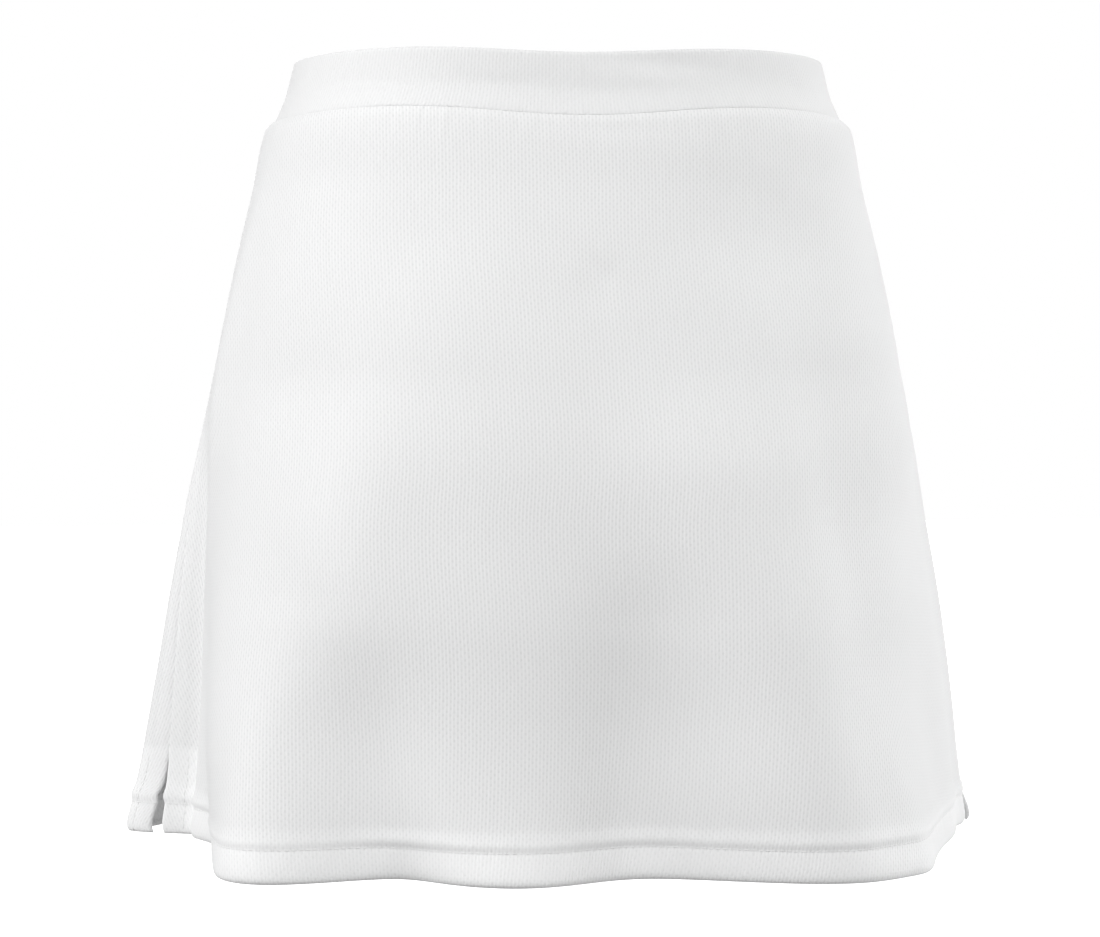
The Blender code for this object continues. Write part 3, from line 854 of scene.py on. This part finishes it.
# %% [markdown]
# ## Finishes
#
# The skirt's cloth is a warp knit: ribs with a small open eyelet in every second valley, each row
# of them set half a step across. Modelling some forty thousand holes would drown the shape. So
# the knit is drawn in the material, on the flat map, where metres of cloth are metres of pattern.
# Shader maths is plain Python here: a Channel wraps one socket, and an operator on it adds a node.


# %% Shader helpers
class Channel:
    """A number that varies over a surface, for Python's operators to work on."""

    def __init__(self, cloth, socket):
        self.cloth, self.socket = cloth, socket

    def math(self, operation, *others):
        """One Math node on this channel and others."""
        sockets = dict(enumerate([self, *others]))
        return self.cloth.node("ShaderNodeMath", {"operation": operation}, sockets)

    def output(self, number):
        """Another output of the node that this channel comes from."""
        return Channel(self.cloth, self.socket.node.outputs[number])

    def __add__(self, other):
        return self.math("ADD", other)

    def __sub__(self, other):
        return self.math("SUBTRACT", other)

    def __rsub__(self, other):
        return (self * -1.0) + other

    def __mul__(self, other):
        return self.math("MULTIPLY", other)

    def __pow__(self, other):
        return self.math("POWER", other)

    __radd__, __rmul__ = __add__, __mul__

    def cosine(self):
        return self.math("COSINE")

    def positive(self):
        return self.math("MAXIMUM", 0.0)


class Finish:
    """A Principled material, and the one method that adds any other node to it."""

    def __init__(self, name, roughness, sheen):
        self.material = bpy.data.materials.new(name)
        self.material.use_nodes = True
        self.tree = self.material.node_tree
        self.shader = self.tree.nodes["Principled BSDF"]
        self.shader.inputs["Roughness"].default_value = roughness
        self.shader.inputs["Sheen Weight"].default_value = sheen
        self.shader.inputs["Sheen Roughness"].default_value = 0.45
        self.shader.inputs["Specular IOR Level"].default_value = 0.30

    def node(self, kind, settings=None, sockets=None, output=0):
        """A node: its settings first, then a value or a link for each socket."""
        made = self.tree.nodes.new(kind)
        for name, value in (settings or {}).items():
            setattr(made, name, value)
        for place, value in (sockets or {}).items():
            if isinstance(value, Channel):
                self.tree.links.new(value.socket, made.inputs[place])
            else:
                made.inputs[place].default_value = value
        return Channel(self, made.outputs[output])

    def mix(self, share, first, second):
        """Between two colours, by a channel from 0 to 1."""
        kind = {"data_type": "RGBA", "clamp_factor": True}
        return self.node("ShaderNodeMix", kind, {0: share, 6: first, 7: second}, 2)

    def noise(self, place, scale, detail=2.0):
        """Soft noise from 0 to 1."""
        sockets = {"Vector": place, "Scale": scale, "Detail": detail, "Roughness": 0.5}
        return self.node("ShaderNodeTexNoise", {}, sockets)

    def paint(self, colour=None, roughness=None, height=None):
        """Links the finished channels. The height is in metres."""
        if colour:
            self.tree.links.new(colour.socket, self.shader.inputs["Base Color"])
        if roughness:
            self.tree.links.new(roughness.socket, self.shader.inputs["Roughness"])
        if height:
            bump = self.node(
                "ShaderNodeBump", {}, {"Strength": 1.0, "Distance": 1.0, "Height": height}
            )
            self.tree.links.new(bump.socket, self.shader.inputs["Normal"])


def grey(value, blue=0.0):
    """An almost neutral white, a little bluer where blue is positive."""
    return (value - blue, value - blue / 2, value, 1.0)


# %% [markdown]
# ## Knits and thread
#
# Both knits are sums of cosines across and down the flat cloth. A threshold would cut hard holes,
# and a product of two cosines, kept above zero, gives soft ones. The holes and the valleys between
# the ribs are painted darker as painted shade, and the mesh knit's turned cloth is painted whiter.

# %% Knit finishes
WALE = 0.0016  # from rib to rib
EYELET_ROW = 0.0015  # from one row of eyelets to the next
COURSE = 0.00062  # from loop to loop along a rib
JERSEY_WALE = 0.00085


def mesh_knit(name, light, eyelet_shade_share):
    """Ribs: cos(2 pi x / wale). Eyelets: the positive part of cos(pi x') cos(pi y'), which peaks
    in every second valley and shifts half a step from row to row. The eyelets and the valleys
    between the ribs are painted darker, as painted shade in the holes and the valleys; the third
    argument is how dark the eyelets are painted. Turned cloth is painted whiter: partly its own
    colour, as a single layer lets some light through, and partly a painted highlight, since the
    turning reaches over the stitched puff above the hem."""
    cloth = Finish(name, 0.82, 0.12)
    laid = cloth.node("ShaderNodeUVMap", {"uv_map": "cloth"})
    place = cloth.node("ShaderNodeSeparateXYZ", {}, {0: laid})
    drift = cloth.noise(laid, 45.0) * 0.0009  # no rib runs quite straight
    across, down = place + drift, place.output(1) - drift
    rib = (across * (2 * np.pi / WALE)).cosine()
    valley = (across * (np.pi / WALE) - np.pi / 2).cosine()
    row = (down * (np.pi / EYELET_ROW)).cosine()
    eyelet = (valley * row).positive() ** 1.2 * (valley * valley)
    loop = (down * (2 * np.pi / COURSE) + rib * 1.6).cosine()
    fuzz = cloth.noise(laid, 2600.0, 3.0)
    height = rib * 0.00003 - eyelet * 0.00007 + loop * 0.00001 + fuzz * 0.000025
    # Turned, doubled cloth is painted whiter: partly its own colour, as two layers let less light
    # through, and partly a painted highlight, as the turning reaches over the puff above the
    # stitches.
    single_layer_outside_highlight = 1.0 - cloth.node("ShaderNodeAttribute", {"attribute_name": "double"}, output=2)
    # Painted shade: the eyelets and the rib valleys are painted darker, as shade falls into them;
    # the noise is the cloth's own uneven tone.
    shade = eyelet * eyelet_shade_share + (1.0 - rib) * 0.085 + cloth.noise(laid, 22.0) * 0.06
    shade = shade * (single_layer_outside_highlight * 0.4 + 0.6) + single_layer_outside_highlight * 0.13
    colour = cloth.mix(shade, grey(light, 0.004), grey(0.62 * light, 0.006))
    cloth.paint(colour, 0.78 + eyelet * 0.12 + fuzz * 0.08, height)
    return cloth.material


def jersey_knit(name, light):
    """Fine loops in columns: each column's loops lean the other way from its neighbour's."""
    cloth = Finish(name, 0.85, 0.10)
    laid = cloth.node("ShaderNodeUVMap", {"uv_map": "cloth"})
    place = cloth.node("ShaderNodeSeparateXYZ", {}, {0: laid})
    rib = (place * (2 * np.pi / JERSEY_WALE)).cosine()
    loop = (place.output(1) * (2 * np.pi / COURSE) + rib * 2.2).cosine()
    fuzz = cloth.noise(laid, 3000.0, 3.0)
    height = rib * 0.00003 + loop * 0.00002 + fuzz * 0.00003
    # Painted shade: the valleys between the ribs and between the loops are painted darker; the
    # noise is the cloth's own uneven tone.
    shade = (1.0 - rib) * 0.08 + (1.0 - loop) * 0.04 + cloth.noise(laid, 20.0) * 0.05
    colour = cloth.mix(shade, grey(light, 0.003), grey(0.62 * light, 0.006))
    cloth.paint(colour, 0.80 + fuzz * 0.10, height)
    return cloth.material


def sewing_thread(name, light):
    """Two-ply polyester: fine slanted bands of noise, a little smoother than the cloth."""
    thread = Finish(name, 0.5, 0.05)
    place = thread.node("ShaderNodeTexCoord", output=3)
    ply = thread.noise(place, 2200.0, 1.0)
    colour = thread.mix(ply, grey(light), grey(0.86 * light))
    thread.paint(colour, 0.42 + ply * 0.2, ply * 0.00004)
    return thread.material


MESH_KNIT = mesh_knit("white mesh knit", 0.87, 0.18)
BAND_KNIT = mesh_knit("white mesh knit over elastic", 0.80, 0.10)
JERSEY = jersey_knit("white jersey", 0.80)
THREAD_WHITE = sewing_thread("white sewing thread", 0.86)
print("ribs", WALE * 1000, "mm apart, eyelets", 2 * WALE * 1000, "mm apart along a row")

# %% [markdown]
# ## Dressing the model
#
# Every piece rides on the imported body and stands for the solid it was modelled on. A table
# lists the size each skirt sheet was cut to.

# %% Ride and replace
Cut = namedtuple("Cut", "width length area")

SKIRT_CUTS = (Cut(0.665, 0.332, 0.176), Cut(0.555, 0.332, 0.148))


def dress(piece, look, node=None):
    """One finish, one body, and the solid it stands for."""
    piece.data.materials.append(look)
    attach(piece, "root")
    if node:
        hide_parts(node)


for panel, cloth, cut in zip(SKIRT_PANELS, skirt_cloths, SKIRT_CUTS):
    dress(cloth, MESH_KNIT, panel.node)
    [piece for piece in skirt_threads if piece.name.startswith(panel.node)]
dress(waistband_cloth, BAND_KNIT, "waistband")
for leg, cloth, threads in zip(SHORTS_PANELS, shorts_cloths, shorts_threads):
    dress(cloth, JERSEY, leg.node)
for threads in skirt_threads:
    dress(threads, THREAD_WHITE)
for threads in shorts_threads:
    dress(threads, THREAD_WHITE)

# %% [markdown]
# ## The studio
#
# White cloth on white needs very even light, with just enough from one side to round it. So the
# room is pale, and large soft lamps stand round the garment. A sun would draw hard shadows in the
# folds. The pale floor lies well below the hem, as the waist it is worn on holds the garment up.

# %% Floor, light and camera
FLOOR_Z = -0.75
FLOOR_SIZE = 9.0
FLOOR_CORNERS = (-1, -1), (1, -1), (1, 1), (-1, 1)
FLOOR_GLOW = 1.3  # how white the camera sees it


def make_floor():
    """A wide pale floor, faintly mottled."""
    corners = [(x * FLOOR_SIZE, y * FLOOR_SIZE, FLOOR_Z) for x, y in FLOOR_CORNERS]
    mesh = bpy.data.meshes.new("studio_floor")
    mesh.from_pydata(corners, [], [(0, 1, 2, 3)])
    floor = bpy.data.objects.new("studio_floor", mesh)
    bpy.context.scene.collection.objects.link(floor)
    paper = Finish("pale floor", 0.9, 0.0)
    place = paper.node("ShaderNodeTexCoord", output=3)
    paper.paint(paper.mix(paper.noise(place, 0.8), grey(0.42), grey(0.40)))
    seen = paper.node("ShaderNodeLightPath")
    glow = paper.mix(seen, grey(0.0), grey(1.0))
    paper.tree.links.new(glow.socket, paper.shader.inputs["Emission Color"])
    paper.shader.inputs["Emission Strength"].default_value = FLOOR_GLOW
    mesh.materials.append(paper.material)


# Where a lamp stands round the garment (degrees, 0 in front of the seen face and -90 to the
# left), its height over the waist, its distance, its size and its power.
Lamp = namedtuple("Lamp", "name around up away size watts")

LAMPS = (
    Lamp("key", -40, 1.7, 1.9, 1.4, 45.0),
    Lamp("fill", 40, 1.1, 2.5, 1.6, 27.0),
    Lamp("left_side", -90, 0.1, 2.3, 1.4, 22.0),
    Lamp("right_side", 90, 0.1, 2.3, 1.4, 14.0),
    Lamp("right_rim", 118, 0.1, 2.3, 1.4, 22.0),
    Lamp("behind", 176, 0.9, 2.6, 1.6, 32.0),
)
ROOM_LIGHT = 0.20  # what the room gives to the cloth
ROOM_SEEN = 1.0  # how white its walls look
SKIRT_MIDDLE = Vector((0, 0, -0.16))


def light_studio():
    """The pale room and its soft lamps, each turned to the middle of the skirt."""
    for lamp in LAMPS:
        made = bpy.data.lights.new(lamp.name, "AREA")
        made.shape, made.size, made.energy = "DISK", lamp.size, lamp.watts
        piece = bpy.data.objects.new(lamp.name, made)
        bpy.context.scene.collection.objects.link(piece)
        turn = np.radians(lamp.around)
        place = Vector((lamp.away * np.sin(turn), -lamp.away * np.cos(turn), lamp.up))
        piece.location = place
        piece.rotation_mode = "QUATERNION"
        piece.rotation_quaternion = (SKIRT_MIDDLE - place).to_track_quat("-Z", "Y")
    world = bpy.data.worlds.new("pale room")
    world.use_nodes = True
    tree = world.node_tree
    path = tree.nodes.new("ShaderNodeLightPath")
    share = tree.nodes.new("ShaderNodeMapRange")
    share.inputs["To Min"].default_value = ROOM_LIGHT
    share.inputs["To Max"].default_value = ROOM_SEEN
    tree.links.new(path.outputs["Is Camera Ray"], share.inputs["Value"])
    tree.links.new(share.outputs["Result"], tree.nodes["Background"].inputs["Strength"])
    tree.nodes["Background"].inputs["Color"].default_value = (1, 1, 1, 1)
    bpy.context.scene.world = world


# The photo's view: 7 degrees round to the garment's left, from a little above the waist's
# level, through a long lens.
AZIMUTH, PITCH = -7.0, 2.64
DISTANCE = 1.762
AXIS = Vector((0, -0.024, -0.094))  # the point on the garment's axis that it swings round
ASIDE = -0.005
LENS, SENSOR = 124.95, 36.0  # mm


def aim_camera():
    """Stands the camera back along its azimuth from the garment's axis, and tips it down."""
    turn, tip = np.radians(AZIMUTH), np.radians(PITCH)
    back = Vector((np.sin(turn) * np.cos(tip), -np.cos(turn) * np.cos(tip), np.sin(tip)))
    level = Vector((np.sin(turn), -np.cos(turn), 0))
    right = Vector((np.cos(turn), np.sin(turn), 0))
    camera = bpy.data.objects.new("camera", bpy.data.cameras.new("camera"))
    camera.data.lens, camera.data.sensor_width = LENS, SENSOR
    camera.location = AXIS + level * DISTANCE + right * ASIDE
    camera.rotation_mode = "QUATERNION"
    camera.rotation_quaternion = (-back).to_track_quat("-Z", "Y")
    bpy.context.scene.collection.objects.link(camera)
    bpy.context.scene.camera = camera
    print("camera at", np.round(camera.location, 3).tolist())


make_floor()
light_studio()
aim_camera()
bpy.context.scene.view_settings.view_transform = "Standard"
